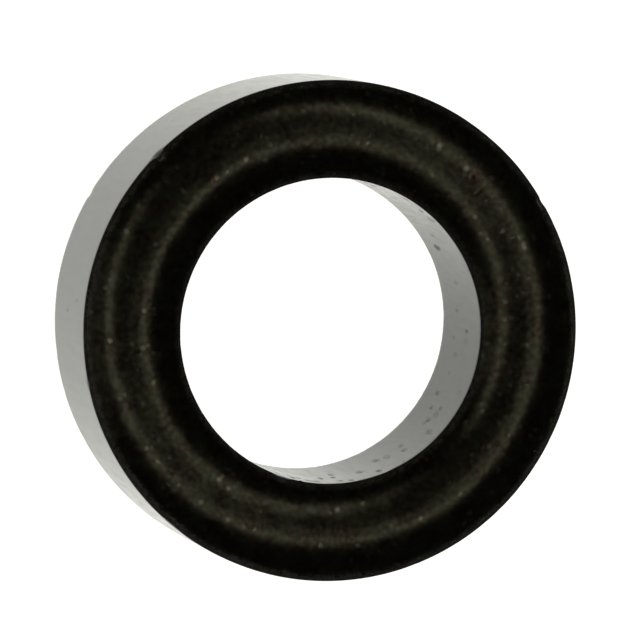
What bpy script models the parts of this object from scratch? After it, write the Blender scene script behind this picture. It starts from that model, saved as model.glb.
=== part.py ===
"""A ferrite ring core: one pressed and sintered ring, lying on its lower face.

The origin is on the ring's axis at the level that it rests on, with the axis along +Z. Its section is the same
above and below its middle, and the same on the bore side and the outer side of its crests.
"""

from math import acos, cos, degrees, radians, sin, tau

import bmesh
import bpy

MM = 0.001

# Driving dimensions
OUTER_DIAMETER = 31.0 * MM
RADIAL_WIDTH = 6.05 * MM  # from the wall of the bore to the outer wall
HEIGHT = 12.6 * MM  # from the lower crest to the upper crest
CROWN_RISE = 0.8 * MM  # how far each face's crest stands above its rims
CREST_FLAT = 0.3 * MM  # width of the flat ring along each crest, which the core rests on
RIM_LAND = 0.10 * MM  # width of the flat ring beside each rim, left by the edge of the punch
EDGE_RADIUS = 0.08 * MM  # tumbled corner between a rim land and a wall

# Smoothness of the round shapes
SEGMENTS = 96  # around the axis
CROWN_STEPS = 5  # along the arc from a rim land to a crest
EDGE_STEPS = 2  # along a tumbled corner
SHARP_ANGLE = radians(30)  # a crease steeper than this is shaded as an edge

# Finish of the bare, matt black ferrite
FERRITE_COLOUR = (0.012, 0.011, 0.009, 1.0)
FERRITE_ROUGHNESS = 0.45
FERRITE_METALLIC = 0.0


def arc_points(centre, radius, start, end, steps):
    """Points along an arc in the section plane, its ends included, with angles in degrees from the outward side."""
    angles = [radians(start + (end - start) * step / steps) for step in range(steps + 1)]
    return [(centre[0] + radius * cos(angle), centre[1] + radius * sin(angle)) for angle in angles]


def quarter_section():
    """The upper outer quarter of the section, from wall to crest.

    Each point is (distance outward from the circle of the crests, height above the middle of the core).
    """
    half_width = RADIAL_WIDTH / 2
    half_flat = CREST_FLAT / 2
    crest_level = HEIGHT / 2
    rim_level = crest_level - CROWN_RISE

    corner = arc_points((half_width - EDGE_RADIUS, rim_level - EDGE_RADIUS), EDGE_RADIUS, 0, 90, EDGE_STEPS)

    # The crown's arc starts at the rim land and runs level where it meets the crest's flat
    crown_run = half_width - EDGE_RADIUS - RIM_LAND - half_flat
    crown_radius = (crown_run**2 + CROWN_RISE**2) / (2 * CROWN_RISE)
    crown_start = degrees(acos(crown_run / crown_radius))
    crown = arc_points((half_flat, crest_level - crown_radius), crown_radius, crown_start, 90, CROWN_STEPS)
    return corner + crown


def ring_section():
    """The whole section as a closed loop of (radius from the axis, height above the middle of the core)."""
    crest_circle = (OUTER_DIAMETER - RADIAL_WIDTH) / 2
    quarter = quarter_section()
    upper_bore_side = [(-out, up) for out, up in reversed(quarter)]
    upper = quarter + upper_bore_side
    lower = [(out, -up) for out, up in reversed(upper)]
    return [(crest_circle + out, up) for out, up in upper + lower]


def turned_mesh(name, section, segments):
    """A closed mesh made by turning a closed section once round the Z axis."""
    shape = bmesh.new()
    corners = [shape.verts.new((radius, 0, height)) for radius, height in section]
    edges = [shape.edges.new(pair) for pair in zip(corners, corners[1:] + corners[:1])]
    bmesh.ops.spin(
        shape,
        geom=corners + edges,
        axis=(0, 0, 1),
        cent=(0, 0, 0),
        angle=tau,
        steps=segments,
        use_merge=True,
    )
    bmesh.ops.recalc_face_normals(shape, faces=shape.faces)
    mesh = bpy.data.meshes.new(name)
    shape.to_mesh(mesh)
    shape.free()
    mesh.shade_smooth()
    mesh.set_sharp_from_angle(angle=SHARP_ANGLE)
    return mesh


def ferrite_material():
    """Bare sintered ferrite: a hard, matt, near-black ceramic."""
    material = bpy.data.materials.new("ferrite")
    material.use_nodes = True
    shader = material.node_tree.nodes["Principled BSDF"]
    shader.inputs["Base Color"].default_value = FERRITE_COLOUR
    shader.inputs["Roughness"].default_value = FERRITE_ROUGHNESS
    shader.inputs["Metallic"].default_value = FERRITE_METALLIC
    material.diffuse_color = FERRITE_COLOUR
    return material


def ring_core():
    """The core, with the flat of its lower crest at the level of the origin."""
    mesh = turned_mesh("ring_core", ring_section(), SEGMENTS)
    mesh.materials.append(ferrite_material())
    core = bpy.data.objects.new("ring_core", mesh)
    core.location.z = HEIGHT / 2
    bpy.context.scene.collection.objects.link(core)


def main():
    for old in list(bpy.data.objects):
        bpy.data.objects.remove(old)
    ring_core()


main()
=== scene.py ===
"""The looks of a bare ferrite ring core that lies on a white ground, seen from almost straight above.

Lengths are in metres in the CAD's frame: the ring's axis is Z, and its lower crest lies at z = 0. Azimuths
on the ring are in degrees about that axis, counted from +X, the photograph's right, towards +Y, its top.
The patterns in the finishes have their widths and spacings in millimetres. The camera and the lamps have
their angles in radians.
"""

import logging
from dataclasses import dataclass
from enum import Enum
from math import acos, cos, hypot, pi, radians, sin, tau

import bmesh
import bpy
import numpy as np
from mathutils import Matrix, Vector, noise


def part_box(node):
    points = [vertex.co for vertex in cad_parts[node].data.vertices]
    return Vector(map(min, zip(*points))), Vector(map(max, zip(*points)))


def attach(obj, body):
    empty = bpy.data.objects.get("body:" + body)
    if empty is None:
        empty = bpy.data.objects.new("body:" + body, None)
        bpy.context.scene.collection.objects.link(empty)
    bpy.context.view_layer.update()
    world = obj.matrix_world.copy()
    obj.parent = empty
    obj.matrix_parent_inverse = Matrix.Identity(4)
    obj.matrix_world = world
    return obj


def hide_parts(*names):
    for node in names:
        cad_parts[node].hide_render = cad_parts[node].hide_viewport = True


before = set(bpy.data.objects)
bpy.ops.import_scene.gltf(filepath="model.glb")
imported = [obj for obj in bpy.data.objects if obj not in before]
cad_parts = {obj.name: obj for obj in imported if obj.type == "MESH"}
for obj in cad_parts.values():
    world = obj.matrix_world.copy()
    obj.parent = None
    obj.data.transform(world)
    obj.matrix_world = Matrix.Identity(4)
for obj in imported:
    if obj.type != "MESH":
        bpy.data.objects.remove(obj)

log = logging.getLogger("ferrite_ring")

MM = 0.001
PER_MM = 1000.0
NOISE_STRIDE = (31.7, 17.3, 53.1)
WORN_ATTRIBUTE = "worn"
STAINED_ATTRIBUTE = "stained"
GLINTING_ATTRIBUTE = "glinting"

Colour = tuple[float, float, float, float]


class Side(Enum):
    """A side of the ring's section, by the sign of the way it faces along the radius."""

    BORE = -1
    OUTER = 1


class End(Enum):
    """An end of the ring's walls, by the sign of the way its face looks along the axis."""

    LOWER = -1
    UPPER = 1


class Surface(Enum):
    """The surfaces that differ in finish, by material slot of the ring's mesh."""

    FACE = 0
    OUTER_WALL = 1
    BORE_WALL = 2


class NoiseField(Enum):
    """The unlike fields of smooth noise, by the number that picks each."""

    SWELL = 7
    RAGGED_EDGE = 8
    FRAYED_EDGE = 9
    DRAG_MARK = 10
    GRANULES = 11


@dataclass(frozen=True)
class RingSection:
    """The section of the ring, the same above and below its middle and on both sides of its crests."""

    outer_radius: float
    bore_radius: float
    height: float
    crown_rise: float = 0.8 * MM
    crest_flat: float = 0.3 * MM
    rim_land: float = 0.10 * MM
    edge_radius: float = 0.08 * MM

    @classmethod
    def of_node(cls, name: str) -> "RingSection":
        """Measures the section on a CAD node.

        Args:
            name: the CAD node that the ring replaces.

        Returns:
            The section with that node's outer radius, bore radius and height.
        """
        low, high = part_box(name)
        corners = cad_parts[name].data.vertices
        bore_radius = min(hypot(corner.co.x, corner.co.y) for corner in corners)
        return cls(outer_radius=high.x, bore_radius=bore_radius, height=high.z - low.z)

    @property
    def crest_radius(self) -> float:
        """Radius of the circle along the crests."""
        return (self.outer_radius + self.bore_radius) / 2

    @property
    def half_width(self) -> float:
        """Distance from the circle of the crests to either wall."""
        return (self.outer_radius - self.bore_radius) / 2

    @property
    def rim_height(self) -> float:
        """Height of the rims above or below the middle of the ring."""
        return self.height / 2 - self.crown_rise

    def quarter(self, edge_steps: int, land_steps: int, crown_steps: int) -> list[tuple[float, float]]:
        """Points along the section's upper outer quarter, from the wall to the edge of the crest's flat.

        Args:
            edge_steps: steps along the rounded edge.
            land_steps: steps across the flat land beside it.
            crown_steps: steps along the crown's arc.

        Returns:
            Pairs of distance outward from the circle of the crests and height above the middle.
        """
        edge_centre = self.half_width - self.edge_radius
        turns = [pi / 2 * step / edge_steps for step in range(edge_steps)]
        edge = [
            (
                edge_centre + self.edge_radius * cos(turn),
                self.rim_height - self.edge_radius * (1 - sin(turn)),
            )
            for turn in turns
        ]
        land = [
            (edge_centre - self.rim_land * step / land_steps, self.rim_height)
            for step in range(land_steps)
        ]

        crown_run = edge_centre - self.rim_land - self.crest_flat / 2
        crown_radius = (crown_run**2 + self.crown_rise**2) / (2 * self.crown_rise)
        start = acos(crown_run / crown_radius)
        turns = [start + (pi / 2 - start) * step / crown_steps for step in range(crown_steps + 1)]
        crown_centre = self.height / 2 - crown_radius
        crown = [
            (self.crest_flat / 2 + crown_radius * cos(turn), crown_centre + crown_radius * sin(turn))
            for turn in turns
        ]
        return edge + land + crown

    def wall_levels(self, steps: int, crowding: float) -> list[float]:
        """Heights of the rows down a wall, closer together towards its ends.

        Args:
            steps: number of steps from end to end.
            crowding: 0 for even rows, towards 1 for rows that crowd at the ends.

        Returns:
            Heights above the middle, the two ends left out.
        """
        reach = self.rim_height - self.edge_radius
        shares = [1 - 2 * step / steps for step in range(1, steps)]
        return [reach * ((1 - crowding) * share + crowding * sin(share * pi / 2)) for share in shares]


@dataclass(frozen=True)
class Fineness:
    """How finely the ring's mesh is divided."""

    around: int = 720
    edge_steps: int = 4
    land_steps: int = 3
    upper_crown_steps: int = 23
    lower_crown_steps: int = 10
    wall_steps: int = 14
    wall_crowding: float = 0.75
    mark_cuts: int = 4
    mark_reach: float = 0.8
    crease_angle: float = radians(15.0)


@dataclass(frozen=True)
class EdgeChip:
    """A small bite out of the edge between a rim land and a wall."""

    azimuth: float
    side: Side
    length: float
    depth: float
    end: End = End.UPPER


@dataclass(frozen=True)
class WallMark:
    """A dull, slightly hollow mark where a granule was dragged along a wall."""

    azimuth: float
    height: float
    width: float
    dullness: float
    side: Side = Side.BORE


@dataclass(frozen=True)
class FaceMark:
    """A crumb that stands out of the upper face, or where its rise is negative, a pit in it."""

    azimuth: float
    radius: float
    width: float
    rise: float


@dataclass(frozen=True)
class FaceSpot:
    """A small spot of another finish on the upper face."""

    azimuth: float
    radius: float
    width: float


@dataclass(frozen=True)
class WallDent:
    """A long shallow stretch where a wall lies a little inside its true circle."""

    azimuth: float
    side: Side
    spread: float
    depth: float


@dataclass(frozen=True)
class Relief:
    """The unevenness that pressing, sintering and handling left on the surface.

    Drag is how many times a drag mark is longer than wide. The two values for a bite say how far a chip
    reaches across the face and along the wall, counted in its own depth.
    """

    swell_height: float = 0.014 * MM
    swell_width: float = 2.2 * MM
    granule_height: float = 0.001 * MM
    granule_width: float = 0.5 * MM
    wall_share: float = 0.08
    drag: float = 3.4
    drag_depth: float = 0.004 * MM
    edge_wear: float = 0.02 * MM
    edge_wear_width: float = 0.9 * MM
    edge_reach: float = 0.3 * MM
    rubbed_reach: float = 0.6 * MM
    rubbed_base: float = 0.35
    rubbed_azimuth: float = 212.0
    rubbed_spread: float = 85.0
    bite_inward: float = 6.0
    bite_along_wall: float = 3.0
    fray_ratio: float = 0.25
    fray_share: float = 0.6
    wear_limit: float = 1.2
    rubbed_raggedness: float = 0.8
    rubbed_limit: float = 1.3
    bite_raggedness: float = 0.45
    mark_raggedness: float = 0.4
    mark_fray_width: float = 0.25 * MM


def smooth_noise(points: np.ndarray, width: float, field: NoiseField) -> np.ndarray:
    """Smooth noise through space.

    Args:
        points: one row of x, y, z for each point.
        width: distance over which the noise goes from one hump to the next.
        field: which of the unlike fields to take.

    Returns:
        A value from about -1 to 1 for each point.
    """
    shift = np.array(NOISE_STRIDE) * field.value
    return np.fromiter((noise.noise(place) for place in points / width + shift), float, len(points))


def hump(distance: np.ndarray) -> np.ndarray:
    """A smooth hump: 1 at a distance of 0, falling to 0 at a distance of 1 and beyond."""
    return np.clip(1 - distance**2, 0, None) ** 2


def turn_between(azimuths: np.ndarray, azimuth: float) -> np.ndarray:
    """Signed angles in radians from one azimuth in degrees to an array of azimuths in radians."""
    return (azimuths - radians(azimuth) + pi) % tau - pi


@dataclass
class RingCore:
    """The pressed and sintered ring: one closed mesh with its wear, marks and finishes."""

    section: RingSection
    fineness: Fineness = Fineness()
    relief: Relief = Relief()
    chips: tuple[EdgeChip, ...] = (
        EdgeChip(azimuth=135.4, side=Side.OUTER, length=1.3 * MM, depth=0.16 * MM),
        EdgeChip(azimuth=149.5, side=Side.OUTER, end=End.LOWER, length=0.7 * MM, depth=0.08 * MM),
        EdgeChip(azimuth=31.3, side=Side.OUTER, length=1.0 * MM, depth=0.07 * MM),
        EdgeChip(azimuth=192.2, side=Side.OUTER, length=0.8 * MM, depth=0.07 * MM),
        EdgeChip(azimuth=230.5, side=Side.OUTER, length=1.8 * MM, depth=0.08 * MM),
        EdgeChip(azimuth=164.6, side=Side.BORE, length=0.7 * MM, depth=0.03 * MM),
        EdgeChip(azimuth=195.8, side=Side.BORE, length=0.8 * MM, depth=0.03 * MM),
        EdgeChip(azimuth=252.0, side=Side.BORE, length=1.6 * MM, depth=0.10 * MM),
    )
    marks: tuple[WallMark, ...] = (
        WallMark(azimuth=30.2, height=4.5 * MM, width=0.60 * MM, dullness=1.0),
        WallMark(azimuth=36.1, height=5.6 * MM, width=0.40 * MM, dullness=0.35),
        WallMark(azimuth=16.2, height=6.0 * MM, width=0.42 * MM, dullness=0.35),
        WallMark(azimuth=5.1, height=4.9 * MM, width=0.38 * MM, dullness=0.55),
        WallMark(azimuth=358.1, height=7.8 * MM, width=0.40 * MM, dullness=0.6),
        WallMark(azimuth=354.3, height=4.3 * MM, width=0.36 * MM, dullness=0.45),
        WallMark(azimuth=354.5, height=7.8 * MM, width=0.64 * MM, dullness=0.25),
        WallMark(azimuth=348.1, height=5.5 * MM, width=0.52 * MM, dullness=0.4),
        WallMark(azimuth=340.9, height=5.4 * MM, width=0.42 * MM, dullness=0.35),
        WallMark(azimuth=332.1, height=4.5 * MM, width=0.46 * MM, dullness=0.7),
        WallMark(azimuth=335.3, height=10.0 * MM, width=0.50 * MM, dullness=0.25),
        WallMark(azimuth=325.8, height=5.1 * MM, width=0.42 * MM, dullness=0.7),
        WallMark(azimuth=327.0, height=7.5 * MM, width=0.40 * MM, dullness=0.7),
        WallMark(azimuth=320.9, height=6.5 * MM, width=0.50 * MM, dullness=0.65),
        WallMark(azimuth=319.2, height=6.1 * MM, width=0.42 * MM, dullness=0.5),
        WallMark(azimuth=323.9, height=7.4 * MM, width=0.64 * MM, dullness=0.45),
        WallMark(azimuth=316.6, height=9.0 * MM, width=0.64 * MM, dullness=0.5),
        WallMark(azimuth=305.5, height=8.1 * MM, width=0.46 * MM, dullness=0.7),
        WallMark(azimuth=306.6, height=6.4 * MM, width=0.50 * MM, dullness=0.5),
        WallMark(azimuth=295.5, height=6.3 * MM, width=0.58 * MM, dullness=0.7),
        WallMark(azimuth=299.5, height=6.9 * MM, width=0.64 * MM, dullness=0.5),
        WallMark(azimuth=291.3, height=10.3 * MM, width=0.46 * MM, dullness=0.85),
        WallMark(azimuth=286.6, height=8.1 * MM, width=0.64 * MM, dullness=0.5),
        WallMark(azimuth=276.0, height=8.1 * MM, width=0.40 * MM, dullness=0.85),
        WallMark(azimuth=271.1, height=8.2 * MM, width=0.40 * MM, dullness=0.85),
        WallMark(azimuth=277.1, height=6.5 * MM, width=0.46 * MM, dullness=0.6),
        WallMark(azimuth=254.0, height=8.3 * MM, width=0.46 * MM, dullness=0.7),
        WallMark(azimuth=261.5, height=8.9 * MM, width=0.46 * MM, dullness=0.7),
        WallMark(azimuth=69.6, height=5.7 * MM, width=0.38 * MM, dullness=0.9),
        WallMark(azimuth=66.9, height=6.3 * MM, width=0.42 * MM, dullness=0.9),
        WallMark(azimuth=70.7, height=10.2 * MM, width=0.38 * MM, dullness=0.9),
        WallMark(azimuth=51.0, height=9.9 * MM, width=0.42 * MM, dullness=0.9),
        WallMark(azimuth=58.8, height=10.1 * MM, width=0.50 * MM, dullness=0.35),
        WallMark(azimuth=46.0, height=10.2 * MM, width=0.76 * MM, dullness=0.4),
        WallMark(azimuth=258.2, height=9.6 * MM, width=0.42 * MM, dullness=0.85),
        WallMark(azimuth=263.7, height=10.1 * MM, width=0.38 * MM, dullness=0.7),
        WallMark(azimuth=265.2, height=10.2 * MM, width=0.34 * MM, dullness=0.7),
        WallMark(azimuth=267.0, height=10.4 * MM, width=0.42 * MM, dullness=0.85),
        WallMark(azimuth=276.2, height=10.4 * MM, width=0.42 * MM, dullness=0.7),
        WallMark(azimuth=279.4, height=11.0 * MM, width=0.42 * MM, dullness=0.7),
        WallMark(azimuth=246.5, height=10.6 * MM, width=0.76 * MM, dullness=0.35),
        WallMark(azimuth=176.9, height=5.7 * MM, side=Side.OUTER, width=0.34 * MM, dullness=0.5),
        WallMark(azimuth=173.7, height=8.6 * MM, side=Side.OUTER, width=0.38 * MM, dullness=0.3),
    )
    face_marks: tuple[FaceMark, ...] = (
        FaceMark(azimuth=76.9, radius=9.62 * MM, width=0.34 * MM, rise=0.04 * MM),
        FaceMark(azimuth=254.8, radius=9.66 * MM, width=0.40 * MM, rise=0.05 * MM),
        FaceMark(azimuth=248.1, radius=9.70 * MM, width=0.30 * MM, rise=0.04 * MM),
        FaceMark(azimuth=259.2, radius=9.50 * MM, width=0.30 * MM, rise=0.04 * MM),
        FaceMark(azimuth=175.5, radius=15.21 * MM, width=0.30 * MM, rise=0.03 * MM),
        FaceMark(azimuth=186.0, radius=12.15 * MM, width=0.30 * MM, rise=0.02 * MM),
        FaceMark(azimuth=221.5, radius=13.32 * MM, width=0.24 * MM, rise=0.02 * MM),
        FaceMark(azimuth=239.8, radius=14.18 * MM, width=0.24 * MM, rise=0.03 * MM),
        FaceMark(azimuth=48.3, radius=12.84 * MM, width=0.22 * MM, rise=-0.06 * MM),
        FaceMark(azimuth=44.1, radius=12.36 * MM, width=0.26 * MM, rise=-0.03 * MM),
        FaceMark(azimuth=6.2, radius=12.89 * MM, width=0.26 * MM, rise=-0.03 * MM),
    )
    stains: tuple[FaceSpot, ...] = (
        FaceSpot(azimuth=167.9, radius=11.89 * MM, width=0.7 * MM),
        FaceSpot(azimuth=47.5, radius=12.90 * MM, width=1.1 * MM),
        FaceSpot(azimuth=351.4, radius=10.78 * MM, width=0.6 * MM),
        FaceSpot(azimuth=2.4, radius=10.58 * MM, width=0.6 * MM),
        FaceSpot(azimuth=196.8, radius=12.00 * MM, width=0.6 * MM),
        FaceSpot(azimuth=129.6, radius=12.10 * MM, width=0.6 * MM),
        FaceSpot(azimuth=300.2, radius=13.32 * MM, width=0.6 * MM),
    )
    glints: tuple[FaceSpot, ...] = (
        FaceSpot(azimuth=118.0, radius=12.02 * MM, width=0.46 * MM),
        FaceSpot(azimuth=154.6, radius=14.38 * MM, width=0.46 * MM),
        FaceSpot(azimuth=51.0, radius=13.02 * MM, width=0.54 * MM),
        FaceSpot(azimuth=60.6, radius=13.22 * MM, width=0.46 * MM),
        FaceSpot(azimuth=23.6, radius=13.06 * MM, width=0.46 * MM),
        FaceSpot(azimuth=232.2, radius=11.50 * MM, width=0.46 * MM),
        FaceSpot(azimuth=272.2, radius=11.00 * MM, width=0.46 * MM),
        FaceSpot(azimuth=236.2, radius=11.62 * MM, width=0.41 * MM),
        FaceSpot(azimuth=296.0, radius=12.86 * MM, width=0.41 * MM),
        FaceSpot(azimuth=26.8, radius=13.02 * MM, width=0.26 * MM),
        FaceSpot(azimuth=248.6, radius=13.08 * MM, width=0.26 * MM),
        FaceSpot(azimuth=124.6, radius=11.98 * MM, width=0.26 * MM),
        FaceSpot(azimuth=30.8, radius=11.20 * MM, width=0.26 * MM),
        FaceSpot(azimuth=80.4, radius=11.80 * MM, width=0.26 * MM),
    )
    dents: tuple[WallDent, ...] = (
        WallDent(azimuth=31.0, side=Side.OUTER, spread=12.0, depth=0.02 * MM),
        WallDent(azimuth=185.0, side=Side.OUTER, spread=14.0, depth=0.02 * MM),
    )

    def section_loop(self) -> list[tuple[float, float]]:
        """The whole section as a closed loop.

        Returns:
            Pairs of distance from the axis and height above the middle.
        """
        fine = self.fineness
        upper = self.section.quarter(fine.edge_steps, fine.land_steps, fine.upper_crown_steps)
        lower = self.section.quarter(fine.edge_steps, fine.land_steps, fine.lower_crown_steps)
        levels = self.section.wall_levels(fine.wall_steps, fine.wall_crowding)
        wall = self.section.half_width

        loop = upper + [(-out, up) for out, up in reversed(upper)]
        loop += [(-wall, level) for level in levels]
        loop += [(-out, -up) for out, up in lower]
        loop += [(out, -up) for out, up in reversed(lower)]
        loop += [(wall, -level) for level in levels]
        return [(self.section.crest_radius + out, up) for out, up in loop]

    def surface_at(self, radius: float) -> Surface:
        """The surface at a distance from the axis, where the rims belong to the walls.

        Args:
            radius: distance from the axis.

        Returns:
            The face or one of the walls.
        """
        out = radius - self.section.crest_radius
        if abs(out) < self.section.half_width - self.section.edge_radius - self.section.rim_land:
            return Surface.FACE
        return Surface.OUTER_WALL if out > 0 else Surface.BORE_WALL

    def turned_shape(self) -> bmesh.types.BMesh:
        """Turns the section round the axis into a closed mesh that rests at z = 0.

        Returns:
            The mesh, with a material slot for each surface and sharp creases inside the rims.
        """
        loop = self.section_loop()
        middle = self.section.height / 2
        shape = bmesh.new()
        rings = []
        for step in range(self.fineness.around):
            turn = tau * step / self.fineness.around
            rings.append([shape.verts.new((r * cos(turn), r * sin(turn), middle + up)) for r, up in loop])
        for ring, following in zip(rings, rings[1:] + rings[:1]):
            for index, (radius, _) in enumerate(loop):
                after = (index + 1) % len(loop)
                face = shape.faces.new((ring[index], following[index], following[after], ring[after]))
                face.material_index = self.surface_at((radius + loop[after][0]) / 2).value
                face.smooth = True
        bmesh.ops.recalc_face_normals(shape, faces=shape.faces)

        # The land meets the crown in a crease, which smooth shading would round off
        for edge in shape.edges:
            edge.smooth = edge.calc_face_angle_signed() > -self.fineness.crease_angle
        return shape

    def divide_at_marks(self, shape: bmesh.types.BMesh) -> None:
        """Cuts the long wall faces round each mark into small ones.

        Args:
            shape: the turned mesh.
        """
        for mark in self.marks:
            radius = self.section.crest_radius + mark.side.value * self.section.half_width
            turn = radians(mark.azimuth)
            centre = Vector((radius * cos(turn), radius * sin(turn), mark.height))
            reach = mark.width * self.fineness.mark_reach
            reach_up = reach * self.relief.drag
            upright = []
            for edge in shape.edges:
                low, high = sorted(vertex.co.z for vertex in edge.verts)
                place = edge.verts[0].co
                tall = high - low > self.section.edge_radius
                beside = hypot(place.x - centre.x, place.y - centre.y) < reach
                if tall and beside and low < mark.height + reach_up and high > mark.height - reach_up:
                    upright.append(edge)
            cuts = self.fineness.mark_cuts
            bmesh.ops.subdivide_edges(shape, edges=upright, cuts=cuts, use_grid_fill=True)

    def shift_of_walls(self, azimuths: np.ndarray, radii: np.ndarray) -> np.ndarray:
        """How far the walls' dents move each point along the radius.

        Args:
            azimuths: in radians, one for each point.
            radii: distances from the axis.

        Returns:
            Signed distances along the radius.
        """
        across = (radii - self.section.crest_radius) / self.section.half_width
        shift = np.zeros(len(radii))
        for dent in self.dents:
            near = hump(turn_between(azimuths, dent.azimuth) / radians(dent.spread))
            on_side = np.clip(across * dent.side.value, 0, 1)
            shift -= dent.side.value * dent.depth * near * on_side
        return shift

    def worn_edges(
        self, points: np.ndarray, azimuths: np.ndarray, radii: np.ndarray
    ) -> tuple[np.ndarray, np.ndarray, np.ndarray]:
        """How far the wear and the chips of the edges move each point.

        Args:
            points: the surface's points.
            azimuths: their azimuths in radians.
            radii: their distances from the axis.

        Returns:
            How far the wear takes each point diagonally into the edge, how far the chips take it along the
            radius, and how worn it is from 0 to 1.
        """
        section = self.section
        relief = self.relief
        up = points[:, 2] - section.height / 2
        out = radii - section.crest_radius
        inward = section.half_width - np.abs(out)
        from_rim = section.rim_height - np.abs(up)
        from_edge = np.hypot(inward, from_rim)
        fray_width = relief.edge_wear_width * relief.fray_ratio
        ragged = smooth_noise(points, relief.edge_wear_width, NoiseField.RAGGED_EDGE)
        frayed = smooth_noise(points, fray_width, NoiseField.FRAYED_EDGE)
        uneven = np.clip(ragged + relief.fray_share * frayed, 0, relief.wear_limit)
        wear = relief.edge_wear * uneven * hump(from_edge / relief.edge_reach)

        # The upper rims are rubbed all round, and the outer one most where it was handled
        from_middle = turn_between(azimuths, relief.rubbed_azimuth) / radians(relief.rubbed_spread)
        handled = hump(from_middle) * (out > 0)
        rubbed = (relief.rubbed_base + (1 - relief.rubbed_base) * handled) * (up > 0)
        patchy = np.clip(1 + relief.rubbed_raggedness * ragged, 0, relief.rubbed_limit)
        worn = hump(from_edge / relief.rubbed_reach) * rubbed * patchy

        bitten = np.zeros(len(points))
        for chip in self.chips:
            at_edge = (np.sign(out) == chip.side.value) & (np.sign(up) == chip.end.value)
            along = turn_between(azimuths, chip.azimuth) * radii / (chip.length / 2)
            across = np.hypot(inward / relief.bite_inward, from_rim / relief.bite_along_wall) / chip.depth
            bite = hump(np.hypot(along, across) * (1 + relief.bite_raggedness * frayed)) * at_edge
            bitten = np.maximum(bitten, chip.depth * bite)
            worn = np.maximum(worn, bite**2)
        return wear, bitten, worn

    def dulled(self, points: np.ndarray, azimuths: np.ndarray, radii: np.ndarray) -> np.ndarray:
        """How dull the drag marks make each point of the walls.

        Args:
            points: the surface's points.
            azimuths: their azimuths in radians.
            radii: their distances from the axis.

        Returns:
            A share from 0 to 1 for each point.
        """
        dulled = np.zeros(len(points))
        out = radii - self.section.crest_radius
        ragged = smooth_noise(points, self.relief.mark_fray_width, NoiseField.DRAG_MARK)
        stretch = 1 + self.relief.mark_raggedness * ragged
        for mark in self.marks:
            on_wall = np.abs(out - mark.side.value * self.section.half_width) < self.section.edge_radius
            along = turn_between(azimuths, mark.azimuth) * radii
            upward = (points[:, 2] - mark.height) / self.relief.drag
            away = np.hypot(along, upward) / (mark.width / 2) * stretch

            # The square gives the mark a flat middle
            dulled = np.maximum(dulled, mark.dullness * hump(away**2) * on_wall)
        return dulled

    def within(self, points: np.ndarray, place: FaceMark | FaceSpot) -> np.ndarray:
        """How far each point of the upper face lies within a mark or spot.

        Args:
            points: the surface's points.
            place: the mark or spot.

        Returns:
            A share for each point, from 0 outside it to 1 at its middle.
        """
        turn = radians(place.azimuth)
        away = np.hypot(points[:, 0] - place.radius * cos(turn), points[:, 1] - place.radius * sin(turn))
        return hump(away / (place.width / 2)) * (points[:, 2] > self.section.height / 2)

    def raised(self, points: np.ndarray) -> np.ndarray:
        """How far the crumbs and pits move each point along the normal."""
        return sum(mark.rise * self.within(points, mark) for mark in self.face_marks)

    def spotted(self, points: np.ndarray, spots: tuple[FaceSpot, ...]) -> np.ndarray:
        """How far each point lies within any of some spots."""
        return np.max([self.within(points, spot) for spot in spots], axis=0)

    def weather(self, mesh: bpy.types.Mesh) -> None:
        """Moves the true ring's vertices to the worn surface, and notes how each one's finish differs.

        Args:
            mesh: the turned mesh, with the faces at its marks divided.
        """
        count = len(mesh.vertices)
        points = np.empty(count * 3, np.float32)
        normals = np.empty(count * 3, np.float32)
        mesh.vertices.foreach_get("co", points)
        mesh.vertex_normals.foreach_get("vector", normals)
        points = points.reshape(-1, 3).astype(float)
        normals = normals.reshape(-1, 3).astype(float)
        azimuths = np.arctan2(points[:, 1], points[:, 0])
        radii = np.hypot(points[:, 0], points[:, 1])
        outward = np.column_stack((points[:, 0] / radii, points[:, 1] / radii, np.zeros(count)))
        upward = np.array((0.0, 0.0, 1.0))

        relief = self.relief
        flatness = np.abs(normals[:, 2])
        swell = smooth_noise(points, relief.swell_width, NoiseField.SWELL) - flatness
        granules = smooth_noise(points, relief.granule_width, NoiseField.GRANULES) - flatness
        share = relief.wall_share + (1 - relief.wall_share) * flatness
        along_normal = share * (relief.swell_height * swell + relief.granule_height * granules)
        dulled = self.dulled(points, azimuths, radii)
        along_normal += self.raised(points) - relief.drag_depth * dulled

        wear, bitten, worn = self.worn_edges(points, azimuths, radii)
        side = np.sign(radii - self.section.crest_radius)
        end = np.sign(points[:, 2] - self.section.height / 2)
        diagonal = -(outward * side[:, None] + upward * end[:, None]) / hypot(1, 1)

        moved = points + normals * along_normal[:, None] + diagonal * wear[:, None]
        moved += outward * (self.shift_of_walls(azimuths, radii) - side * bitten)[:, None]
        moved = self.kept_in_box(moved)
        mesh.vertices.foreach_set("co", moved.astype(np.float32).ravel())
        shares = {
            WORN_ATTRIBUTE: worn,
            STAINED_ATTRIBUTE: np.maximum(self.spotted(points, self.stains), dulled),
            GLINTING_ATTRIBUTE: self.spotted(points, self.glints),
        }
        for name, values in shares.items():
            attribute = mesh.attributes.new(name, "FLOAT", "POINT")
            attribute.data.foreach_set("value", values.astype(np.float32))
        mesh.update()

    def kept_in_box(self, points: np.ndarray) -> np.ndarray:
        """Holds points inside the CAD's outer radius and height, because crumbs may not stand beyond them.

        Args:
            points: the moved points.

        Returns:
            The points, those outside brought back to the border.
        """
        radii = np.hypot(points[:, 0], points[:, 1])
        share = np.minimum(1, self.section.outer_radius / radii)
        heights = np.clip(points[:, 2], 0, self.section.height)
        return np.column_stack((points[:, 0] * share, points[:, 1] * share, heights))

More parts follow.
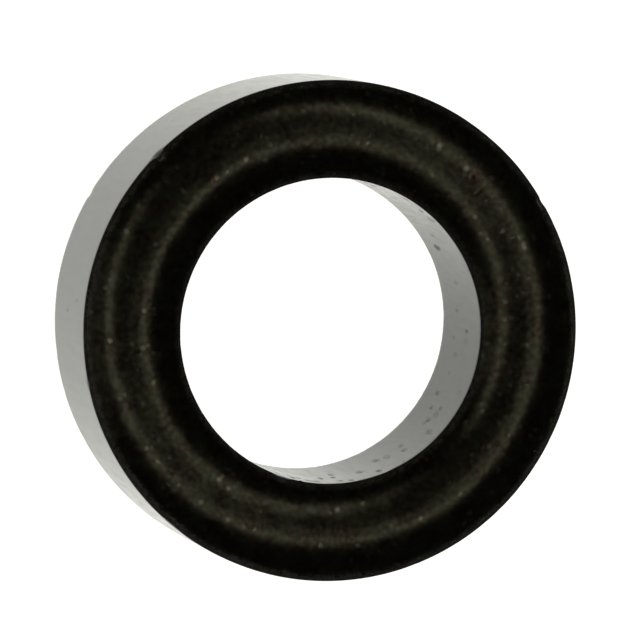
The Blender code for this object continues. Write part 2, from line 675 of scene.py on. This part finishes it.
    def build(self) -> bpy.types.Object:
        """Builds the ring's mesh and puts its object in the scene.

        Returns:
            The ring's object, without its finishes.
        """
        shape = self.turned_shape()
        self.divide_at_marks(shape)
        mesh = bpy.data.meshes.new("ferrite_ring")
        shape.to_mesh(mesh)
        shape.free()
        self.weather(mesh)
        ring = bpy.data.objects.new("ferrite_ring", mesh)
        bpy.context.scene.collection.objects.link(ring)
        return ring

    def dress(self, ring: bpy.types.Object, finishes: dict[Surface, bpy.types.Material]) -> None:
        """Gives each surface of the ring its finish.

        Args:
            ring: the built ring.
            finishes: a material for each surface.
        """
        for surface in Surface:
            ring.data.materials.append(finishes[surface])


class NodeSheet:
    """A node tree with short calls to add its nodes and join them."""

    def __init__(self, tree: bpy.types.NodeTree) -> None:
        """Takes the tree to work on."""
        self.tree = tree

    def node(self, kind: str, settings: dict | None = None, feeds: dict | None = None) -> bpy.types.Node:
        """Adds a node.

        Args:
            kind: the node's type, without the leading "ShaderNode".
            settings: values for its own properties.
            feeds: a socket, number, vector or colour for inputs, by input name or number.

        Returns:
            The new node.
        """
        made = self.tree.nodes.new(f"ShaderNode{kind}")
        for name, value in (settings or {}).items():
            setattr(made, name, value)
        for name, value in (feeds or {}).items():
            self.feed(made.inputs[name], value)
        return made

    def feed(self, socket: bpy.types.NodeSocket, value: object) -> None:
        """Joins a socket to an output, or sets it to a fixed value.

        Args:
            socket: the input to feed.
            value: an output's socket, or a number, vector or colour.
        """
        if isinstance(value, bpy.types.NodeSocket):
            self.tree.links.new(value, socket)
        else:
            socket.default_value = value

    def math(self, operation: str, *values: object) -> bpy.types.NodeSocket:
        """The result of a Math node on one to three values."""
        return self.node("Math", {"operation": operation}, dict(enumerate(values))).outputs[0]

    def moved_towards(self, value: object, target: object, share: object) -> bpy.types.NodeSocket:
        """A value moved a share of the way towards a target."""
        return self.math("MULTIPLY_ADD", self.math("SUBTRACT", target, value), share, value)

    def remap(self, value: object, ends: tuple, onto: tuple = (0.0, 1.0)) -> bpy.types.NodeSocket:
        """A value's smooth step from one range onto another.

        Args:
            value: the value's socket.
            ends: the two ends of its range.
            onto: the results at those two ends.

        Returns:
            The result, which goes no further than its two ends.
        """
        feeds = {
            "Value": value,
            "From Min": ends[0],
            "From Max": ends[1],
            "To Min": onto[0],
            "To Max": onto[1],
        }
        return self.node("MapRange", {"interpolation_type": "SMOOTHSTEP"}, feeds).outputs["Result"]

    def blend(self, share: object, first: object, second: object) -> bpy.types.NodeSocket:
        """A colour between two others.

        Args:
            share: from 0 to 1, how far it lies on the way to the second.
            first: the colour at a share of 0.
            second: the colour at a share of 1.

        Returns:
            The mixed colour.
        """
        mix = self.node("Mix", {"data_type": "RGBA"})
        colour_inputs = [socket for socket in mix.inputs if socket.type == "RGBA"]
        self.feed(mix.inputs["Factor"], share)
        self.feed(colour_inputs[0], first)
        self.feed(colour_inputs[1], second)
        return next(socket for socket in mix.outputs if socket.type == "RGBA")

    def places(self) -> bpy.types.NodeSocket:
        """Places on the object in millimetres."""
        where = self.node("TexCoord").outputs["Object"]
        return self.node("VectorMath", {"operation": "SCALE"}, {"Vector": where, "Scale": PER_MM}).outputs[0]

    def noise(self, where: object, width: object, detail: float) -> bpy.types.NodeSocket:
        """Noise from about 0.2 to 0.8.

        Args:
            where: the places to take it at.
            width: how far apart its humps are, in millimetres.
            detail: how many finer layers are added.

        Returns:
            The noise's value.
        """
        scale = self.math("DIVIDE", 1.0, width)
        feeds = {"Vector": where, "Scale": scale, "Detail": detail}
        return self.node("TexNoise", {"normalize": True}, feeds).outputs["Fac"]


class EffectGroup:
    """A shader node group that several finishes share."""

    def __init__(self, name: str, inputs: dict[str, float], outputs: tuple[str, ...]) -> None:
        """Makes an empty group.

        Args:
            name: the effect's name.
            inputs: its number inputs and their usual values.
            outputs: its number outputs.
        """
        self.tree = bpy.data.node_groups.new(name, "ShaderNodeTree")
        for label, usual in inputs.items():
            socket = self.tree.interface.new_socket(label, in_out="INPUT", socket_type="NodeSocketFloat")
            socket.default_value = usual
        for label in outputs:
            self.tree.interface.new_socket(label, in_out="OUTPUT", socket_type="NodeSocketFloat")
        self.sheet = NodeSheet(self.tree)
        self.given = self.tree.nodes.new("NodeGroupInput").outputs
        self.taken = self.tree.nodes.new("NodeGroupOutput").inputs

    def place(self, sheet: NodeSheet, values: dict[str, float]) -> bpy.types.bpy_prop_collection:
        """Places the group in a finish.

        Args:
            sheet: the finish's nodes.
            values: values for the group's inputs.

        Returns:
            The placed group's outputs.
        """
        placed = sheet.node("Group")
        placed.node_tree = self.tree
        for label, value in values.items():
            sheet.feed(placed.inputs[label], value)
        return placed.outputs


class Effects:
    """The effects that the ring's finishes share, and the ranges over which their patterns fade."""

    FINE_SHARE: float = 0.06
    CLUMP_DETAIL: float = 1.5
    FRAY_DETAIL: float = 2.0
    MARK_DETAIL: float = 1.0
    SOFT_NOISE: tuple[float, float] = (0.3, 0.7)
    MARK_NOISE: tuple[float, float] = (0.25, 0.75)
    SHEEN_NOISE: tuple[float, float] = (0.3, 0.75)
    SHEEN: tuple[float, float] = (0.0, 0.24)
    FRAY: tuple[float, float] = (0.4, 1.6)
    GLINT_BORDER: tuple[float, float] = (0.1, 0.8)
    SPECK_BORDER: tuple[float, float] = (0.6, 1.1)
    FULL_TO_NONE: tuple[float, float] = (1.0, 0.0)

    def __init__(self) -> None:
        """Builds each effect once."""
        self.grain = self.pressed_grain()
        self.wear = self.frayed_patch("edge_wear", WORN_ATTRIBUTE)
        self.stain = self.frayed_patch("surface_stain", STAINED_ATTRIBUTE)
        self.specks = self.sparse_specks()
        self.drawn = self.drawn_marks()

    def pressed_grain(self) -> EffectGroup:
        """The grain of pressed granules: its relief, its soft clumps and how well each spot shines.

        Returns:
            The group, with the outputs Height, Clumps and Shine.
        """
        group = EffectGroup(
            "pressed_grain",
            {"Granule Width": 0.5, "Grain Width": 0.2, "Clump Width": 0.9, "Glint Share": 0.1},
            ("Height", "Clumps", "Shine"),
        )
        sheet = group.sheet
        where = sheet.places()
        granules = sheet.noise(where, group.given["Granule Width"], detail=0.0)
        fine = sheet.noise(where, group.given["Grain Width"], detail=0.0)
        clumps = sheet.noise(where, group.given["Clump Width"], detail=self.CLUMP_DETAIL)
        sheet.feed(group.taken["Height"], sheet.math("MULTIPLY_ADD", fine, self.FINE_SHARE, granules))
        sheet.feed(group.taken["Clumps"], sheet.remap(clumps, self.SOFT_NOISE))

        # A few grains glint, those whose own random value is high, and most at their middle
        feeds = {"Vector": where, "Scale": sheet.math("DIVIDE", 1.0, group.given["Grain Width"])}
        cells = sheet.node("TexVoronoi", {"feature": "F1"}, feeds)
        pick = sheet.node("SeparateColor", None, {"Color": cells.outputs["Color"]}).outputs["Red"]
        least = sheet.math("SUBTRACT", 1.0, group.given["Glint Share"])
        chosen = sheet.remap(pick, (least, 1.0))
        middle = sheet.remap(cells.outputs["Distance"], self.GLINT_BORDER, self.FULL_TO_NONE)
        soft = sheet.remap(fine, self.SHEEN_NOISE, self.SHEEN)
        sheet.feed(group.taken["Shine"], sheet.math("MULTIPLY_ADD", chosen, middle, soft))
        return group

    def frayed_patch(self, name: str, attribute: str) -> EffectGroup:
        """Patches where the mesh is marked by an attribute, with a frayed border.

        Args:
            name: the effect's name.
            attribute: the attribute's name.

        Returns:
            The group, with the output Patch.
        """
        group = EffectGroup(name, {"Fray Width": 0.25}, ("Patch",))
        sheet = group.sheet
        marked = sheet.node("Attribute", {"attribute_name": attribute}).outputs["Fac"]
        fray = sheet.noise(sheet.places(), group.given["Fray Width"], detail=self.FRAY_DETAIL)
        patch = sheet.math("MULTIPLY", marked, sheet.remap(fray, self.SOFT_NOISE, self.FRAY))
        sheet.feed(group.taken["Patch"], sheet.math("MINIMUM", patch, 1.0))
        return group

    def drawn_marks(self) -> EffectGroup:
        """Faint marks and blotches, drawn out along the ring's axis.

        Returns:
            The group, with the output Marks.
        """
        group = EffectGroup("drawn_marks", {"Width": 0.3, "Stretch": 6.0}, ("Marks",))
        sheet = group.sheet
        squeeze = sheet.math("DIVIDE", 1.0, group.given["Stretch"])
        scale = sheet.node("CombineXYZ", None, {"X": 1.0, "Y": 1.0, "Z": squeeze}).outputs[0]
        where = sheet.node("VectorMath", {"operation": "MULTIPLY"}, {0: sheet.places(), 1: scale}).outputs[0]
        marks = sheet.noise(where, group.given["Width"], detail=self.MARK_DETAIL)
        sheet.feed(group.taken["Marks"], sheet.remap(marks, self.MARK_NOISE))
        return group

    def sparse_specks(self) -> EffectGroup:
        """Small round specks in a few of many cells.

        Returns:
            The group, with the output Specks.
        """
        group = EffectGroup("sparse_specks", {"Spacing": 1.2, "Width": 0.15, "Share": 0.2}, ("Specks",))
        sheet = group.sheet
        feeds = {"Vector": sheet.places(), "Scale": sheet.math("DIVIDE", 1.0, group.given["Spacing"])}
        cells = sheet.node("TexVoronoi", {"feature": "F1"}, feeds)
        away = sheet.math("MULTIPLY", cells.outputs["Distance"], group.given["Spacing"])
        half = sheet.math("MULTIPLY", group.given["Width"], 0.5)
        inside = sheet.remap(sheet.math("DIVIDE", away, half), self.SPECK_BORDER, self.FULL_TO_NONE)
        pick = sheet.node("SeparateColor", None, {"Color": cells.outputs["Color"]}).outputs["Green"]
        chosen = sheet.math("LESS_THAN", pick, group.given["Share"])
        sheet.feed(group.taken["Specks"], sheet.math("MULTIPLY", inside, chosen))
        return group


@dataclass(frozen=True)
class PressedFinish:
    """The pressed faces: matt, nearly black and faintly olive, with grains that glint."""

    dim: Colour = (0.026, 0.0205, 0.0130, 1.0)
    dim_olive: Colour = (0.036, 0.0375, 0.0215, 1.0)
    shiny: Colour = (0.113, 0.103, 0.068, 1.0)
    glint: Colour = (0.160, 0.149, 0.110, 1.0)
    worn: Colour = (0.021, 0.0195, 0.016, 1.0)
    rust: Colour = (0.050, 0.018, 0.012, 1.0)
    dust: Colour = (0.045, 0.041, 0.030, 1.0)
    metallic: float = 0.97
    roughness: float = 0.20
    clump_roughness: float = 0.03
    worn_roughness: float = 0.45
    granule_width: float = 0.5
    grain_width: float = 0.34
    clump_width: float = 1.1
    relief: float = 0.0033 * MM
    glint_share: float = 0.09
    worn_fray: float = 0.25
    rust_fray: float = 0.3
    rust_share: float = 0.4
    dust_spacing: float = 1.5
    dust_width: float = 0.13
    dust_share: float = 0.05

    def material(self, effects: Effects) -> bpy.types.Material:
        """Builds the finish.

        Args:
            effects: the shared effects.

        Returns:
            The material for the pressed faces.
        """
        made = bpy.data.materials.new("pressed_face")
        made.use_nodes = True
        sheet = NodeSheet(made.node_tree)
        shader = made.node_tree.nodes["Principled BSDF"]
        sizes = {
            "Granule Width": self.granule_width,
            "Grain Width": self.grain_width,
            "Clump Width": self.clump_width,
            "Glint Share": self.glint_share,
        }
        grain = effects.grain.place(sheet, sizes)
        worn = effects.wear.place(sheet, {"Fray Width": self.worn_fray})["Patch"]
        stain = effects.stain.place(sheet, {"Fray Width": self.rust_fray})["Patch"]
        sizes = {"Spacing": self.dust_spacing, "Width": self.dust_width, "Share": self.dust_share}
        dust = effects.specks.place(sheet, sizes)["Specks"]

        # The oxide shines like a dark metal: its colour is the little that it reflects
        colour = sheet.blend(grain["Clumps"], self.dim, self.dim_olive)
        colour = sheet.blend(grain["Shine"], colour, self.shiny)
        glinting = sheet.node("Attribute", {"attribute_name": GLINTING_ATTRIBUTE}).outputs["Fac"]
        colour = sheet.blend(glinting, colour, self.glint)
        colour = sheet.blend(sheet.math("MULTIPLY", stain, self.rust_share), colour, self.rust)
        colour = sheet.blend(worn, colour, self.worn)
        sheet.feed(shader.inputs["Base Color"], sheet.blend(dust, colour, self.dust))
        matt = sheet.math("MAXIMUM", worn, dust)
        metallic = sheet.math("MULTIPLY_ADD", matt, -self.metallic, self.metallic)
        sheet.feed(shader.inputs["Metallic"], metallic)

        rough = sheet.math("MULTIPLY_ADD", grain["Clumps"], self.clump_roughness, self.roughness)
        rough = sheet.moved_towards(rough, self.worn_roughness, matt)
        sheet.feed(shader.inputs["Roughness"], rough)
        bump = sheet.node("Bump", None, {"Distance": self.relief, "Height": grain["Height"]})
        sheet.feed(shader.inputs["Normal"], bump.outputs["Normal"])
        return made


@dataclass(frozen=True)
class DrawnFinish:
    """A wall that slid along the die: smoother than the faces, with faint marks along the axis."""

    name: str
    refraction: float
    roughness: float
    mark_width: float
    mark_relief: float
    mark_roughness: float
    speck_share: float
    mark_stretch: float = 6.0
    fray_width: float = 0.2
    speck_spacing: float = 0.9
    speck_width: float = 0.18
    dark: Colour = (0.0025, 0.0025, 0.0021, 1.0)
    light: Colour = (0.0065, 0.0062, 0.0052, 1.0)
    worn: Colour = (0.021, 0.0195, 0.016, 1.0)
    worn_roughness: float = 0.3
    dull_roughness: float = 0.42
    speck_roughness: float = 0.6

    def material(self, effects: Effects) -> bpy.types.Material:
        """Builds the finish.

        Args:
            effects: the shared effects.

        Returns:
            The material for one of the walls.
        """
        made = bpy.data.materials.new(self.name)
        made.use_nodes = True
        sheet = NodeSheet(made.node_tree)
        shader = made.node_tree.nodes["Principled BSDF"]
        sizes = {"Width": self.mark_width, "Stretch": self.mark_stretch}
        marks = effects.drawn.place(sheet, sizes)["Marks"]
        worn = effects.wear.place(sheet, {"Fray Width": self.fray_width})["Patch"]
        dull = effects.stain.place(sheet, {"Fray Width": self.fray_width})["Patch"]
        sizes = {"Spacing": self.speck_spacing, "Width": self.speck_width, "Share": self.speck_share}
        specks = effects.specks.place(sheet, sizes)["Specks"]

        colour = sheet.blend(marks, self.dark, self.light)
        sheet.feed(shader.inputs["Base Color"], sheet.blend(worn, colour, self.worn))

        rough = sheet.math("MULTIPLY_ADD", marks, self.mark_roughness, self.roughness)
        rough = sheet.moved_towards(rough, self.worn_roughness, worn)
        rough = sheet.moved_towards(rough, self.dull_roughness, dull)
        rough = sheet.moved_towards(rough, self.speck_roughness, specks)
        sheet.feed(shader.inputs["Roughness"], rough)
        shader.inputs["IOR"].default_value = self.refraction
        bump = sheet.node("Bump", None, {"Distance": self.mark_relief, "Height": marks})
        sheet.feed(shader.inputs["Normal"], bump.outputs["Normal"])
        return made


OUTER_WALL_FINISH = DrawnFinish(
    name="outer_wall",
    refraction=1.208,
    roughness=0.10,
    mark_width=0.50,
    mark_relief=0.0015 * MM,
    mark_roughness=0.05,
    speck_share=0.02,
)
BORE_WALL_FINISH = DrawnFinish(
    name="bore_wall",
    refraction=1.175,
    roughness=0.13,
    mark_width=0.40,
    mark_relief=0.0006 * MM,
    mark_roughness=0.06,
    speck_share=0.05,
)


@dataclass(frozen=True)
class PhotoCamera:
    """The photograph's camera: a long lens, a little off the ring's axis, on a sensor in millimetres."""

    tilt: float = radians(3.953)
    swing: float = radians(11.389)
    distance: float = 461.1 * MM
    aside: float = 0.703 * MM
    above: float = -0.689 * MM
    focal_pixels: float = 7477.0
    image_pixels: float = 640.0
    sensor: float = 36.0
    nearest: float = 0.01
    farthest: float = 10.0

    def build(self, aim: Vector) -> bpy.types.Object:
        """Places the camera and makes it the scene's.

        Args:
            aim: the middle of the ring at the level of its upper rims.

        Returns:
            The camera's object.
        """
        lens = bpy.data.cameras.new("camera")
        lens.sensor_width = self.sensor
        lens.lens = self.sensor * self.focal_pixels / self.image_pixels
        lens.clip_start = self.nearest
        lens.clip_end = self.farthest
        camera = bpy.data.objects.new("camera", lens)
        to_camera = Matrix.Rotation(self.swing, 3, "Y") @ Matrix.Rotation(self.tilt, 3, "X")
        turn = to_camera.transposed()
        place = aim - turn @ Vector((self.aside, self.above, -self.distance))
        camera.matrix_world = Matrix.Translation(place) @ turn.to_4x4()
        bpy.context.scene.collection.objects.link(camera)
        bpy.context.scene.camera = camera
        return camera


def direction(polar: float, azimuth: float) -> Vector:
    """The unit vector at a polar angle from +Z and an azimuth, both in radians."""
    return Vector((sin(polar) * cos(azimuth), sin(polar) * sin(azimuth), cos(polar)))


@dataclass(frozen=True)
class SoftLamp:
    """A round soft lamp that faces the ring, placed and sized by angles as the ring sees it."""

    name: str
    polar: float
    azimuth: float
    width: float
    radiance: float
    distance: float = 1.2
    reflected: bool = True

    def build(self, aim: Vector) -> bpy.types.Object:
        """Places the lamp.

        Args:
            aim: the point that it faces.

        Returns:
            The lamp's object.
        """
        diameter = self.width * self.distance
        lamp = bpy.data.lights.new(self.name, "AREA")
        lamp.shape = "DISK"
        lamp.size = diameter
        lamp.energy = self.radiance * pi * pi * diameter**2 / 4
        made = bpy.data.objects.new(self.name, lamp)
        away = direction(self.polar, self.azimuth)
        made.location = aim + away * self.distance
        made.rotation_euler = away.to_track_quat("Z", "Y").to_euler()
        made.visible_camera = False
        made.visible_glossy = self.reflected
        bpy.context.scene.collection.objects.link(made)
        return made


@dataclass(frozen=True)
class Studio:
    """A white floor with a white horizon, a ring of soft lamps round the camera and a soft lamp above."""

    lamps: int = 18
    ring_polar: float = radians(6.4)
    ring_azimuth: float = radians(112.4)
    ring_radius: float = radians(24.65)
    ring_width: float = radians(11.0)
    ring_radiance: float = 0.84
    faintest_share: float = 0.1
    gap_azimuth: float = radians(115.0)
    gap_spread: float = radians(46.0)
    side_lamp: SoftLamp = SoftLamp(
        name="side_lamp",
        polar=radians(56.0),
        azimuth=radians(186.0),
        width=radians(50.0),
        radiance=0.16,
    )
    crest_lamp: SoftLamp = SoftLamp(
        name="crest_lamp",
        polar=radians(6.0),
        azimuth=radians(105.0),
        width=radians(28.0),
        radiance=0.033,
    )
    fill_lamp: SoftLamp = SoftLamp(
        name="fill_lamp",
        polar=radians(10.0),
        azimuth=radians(112.0),
        width=1.2,
        radiance=1.2,
        reflected=False,
    )
    floor_radius: float = 3.0
    floor_corners: int = 96
    floor_colour: Colour = (0.8, 0.8, 0.8, 1.0)
    floor_glow: Colour = (1.0, 1.0, 0.935, 1.0)
    glow_strength: float = 1.47
    glow_share: float = 0.7
    ceiling: Colour = (0.02, 0.02, 0.02, 1.0)
    horizon: Colour = (1.0, 1.0, 1.0, 1.0)
    horizon_top: float = radians(2.7)
    ceiling_start: float = radians(4.5)

    def ring_of_lamps(self) -> list[SoftLamp]:
        """The lamps round the camera, which fade to none across the gap in their ring.

        Returns:
            The lamps that are bright enough to count.
        """
        axis = direction(self.ring_polar, self.ring_azimuth)
        across = axis.cross(Vector((0, 0, 1))).normalized()
        start = Matrix.Rotation(self.ring_radius, 3, across) @ axis
        found = []
        for index in range(self.lamps):
            away = Matrix.Rotation(tau * index / self.lamps, 3, axis) @ start
            azimuth = Vector((away.x, away.y)).angle_signed(Vector((1, 0)))
            polar = away.angle(Vector((0, 0, 1)))
            from_gap = abs((azimuth - self.gap_azimuth + pi) % tau - pi)
            share = min(1.0, from_gap / self.gap_spread) ** 2
            if share > self.faintest_share:
                radiance = self.ring_radiance * share
                found.append(SoftLamp(f"ring_lamp_{index}", polar, azimuth, self.ring_width, radiance))
        return found

    def floor_material(self) -> bpy.types.Material:
        """A pale floor, white to the camera and in reflections, and clear when seen from below.

        Returns:
            The floor's material.
        """
        made = bpy.data.materials.new("white_floor")
        made.use_nodes = True
        made.cycles.emission_sampling = "NONE"
        tree = made.node_tree
        tree.nodes.clear()
        sheet = NodeSheet(tree)
        path = sheet.node("LightPath").outputs
        shown = sheet.math("MAXIMUM", path["Is Camera Ray"], path["Is Glossy Ray"])
        shown = sheet.math("MAXIMUM", shown, path["Is Transmission Ray"])
        share = sheet.math("MULTIPLY", shown, self.glow_share)
        matt = sheet.node("BsdfDiffuse", None, {"Color": self.floor_colour}).outputs[0]
        light = {"Color": self.floor_glow, "Strength": self.glow_strength}
        glow = sheet.node("Emission", None, light).outputs[0]
        top = sheet.node("MixShader", None, {0: share, 1: matt, 2: glow}).outputs[0]
        clear = sheet.node("BsdfTransparent").outputs[0]
        behind = sheet.node("NewGeometry").outputs["Backfacing"]
        under = sheet.math("MULTIPLY", behind, path["Is Camera Ray"])
        whole = sheet.node("MixShader", None, {0: under, 1: top, 2: clear}).outputs[0]
        sheet.node("OutputMaterial", None, {"Surface": whole})
        return made

    def build_floor(self) -> bpy.types.Object:
        """Lays the floor under the ring.

        Returns:
            The floor's object.
        """
        shape = bmesh.new()
        corners = self.floor_corners
        bmesh.ops.create_circle(shape, cap_ends=True, radius=self.floor_radius, segments=corners)
        mesh = bpy.data.meshes.new("floor")
        shape.to_mesh(mesh)
        shape.free()
        mesh.materials.append(self.floor_material())
        floor = bpy.data.objects.new("floor", mesh)
        bpy.context.scene.collection.objects.link(floor)
        return floor

    def build_world(self) -> None:
        """A dim ceiling over a white horizon, by height above the floor."""
        world = bpy.data.worlds.new("studio")
        world.use_nodes = True
        sheet = NodeSheet(world.node_tree)
        towards = sheet.node("TexCoord").outputs["Generated"]
        up = sheet.node("SeparateXYZ", None, {0: towards}).outputs["Z"]
        share = sheet.remap(up, (sin(self.horizon_top), sin(self.ceiling_start)))
        background = world.node_tree.nodes["Background"]
        sheet.feed(background.inputs["Color"], sheet.blend(share, self.horizon, self.ceiling))
        bpy.context.scene.world = world

    def build(self, aim: Vector) -> bpy.types.Object:
        """Builds the floor, the world and the lamps.

        Args:
            aim: the point that the lamps face.

        Returns:
            The floor.
        """
        floor = self.build_floor()
        self.build_world()
        for lamp in [*self.ring_of_lamps(), self.side_lamp, self.crest_lamp, self.fill_lamp]:
            lamp.build(aim)
        return floor


def main() -> None:
    """Builds the ring, its finishes, the studio and the camera."""
    logging.basicConfig(level=logging.INFO, format="%(name)s: %(message)s")
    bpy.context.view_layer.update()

    section = RingSection.of_node("ring_core")
    core = RingCore(section)
    ring = core.build()
    effects = Effects()
    core.dress(
        ring,
        {
            Surface.FACE: PressedFinish().material(effects),
            Surface.OUTER_WALL: OUTER_WALL_FINISH.material(effects),
            Surface.BORE_WALL: BORE_WALL_FINISH.material(effects),
        },
    )
    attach(ring, "root")
    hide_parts("ring_core")
    log.info("ferrite_ring: %d vertices, %d faces", len(ring.data.vertices), len(ring.data.polygons))

    aim = Vector((0, 0, section.height / 2 + section.rim_height))
    floor = Studio().build(aim)
    log.info("studio: floor, world and lamps")

    camera = PhotoCamera().build(aim)
    log.info("camera: %.1f mm lens", camera.data.lens)

    view = bpy.context.scene.view_settings
    view.view_transform = "Standard"


if __name__ == "__main__":
    main()
